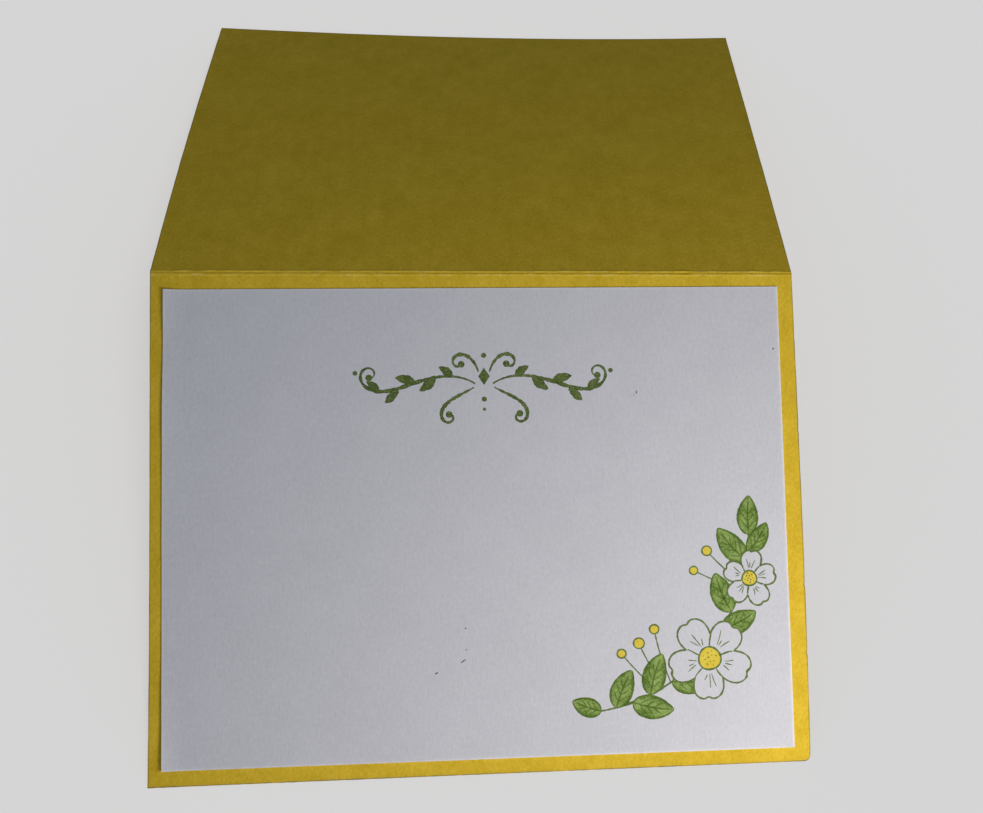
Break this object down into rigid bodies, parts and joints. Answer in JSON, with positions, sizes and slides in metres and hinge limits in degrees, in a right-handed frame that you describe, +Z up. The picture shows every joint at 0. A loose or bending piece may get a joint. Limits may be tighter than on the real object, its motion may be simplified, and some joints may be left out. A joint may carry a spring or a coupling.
{
  "type": "greeting card",
  "caption": "Opened greeting card: a coloured card sheet with one scored fold and a white printed panel glued inside, lying as a low tent on its free edges.",
  "frame": {"origin": "midway between the two free edges of the card and halfway along the fold, on the surface that the card stands on", "axes": "+X along the fold towards the printed panel's right side, +Y from the printed half towards the plain flap, +Z up"},
  "size_m": [0.1396, 0.2032, 0.0369],
  "materials": {
    "yellow_cardstock": "uncoated coloured cardstock, slightly fibrous",
    "white_cardstock": "smooth uncoated white cardstock",
    "printing_ink": "matt ink soaked into the paper"
  },
  "bodies": {
    "root": {"card_base": "yellow_cardstock", "inside_mat": "white_cardstock"}
  },
  "joints": []
}
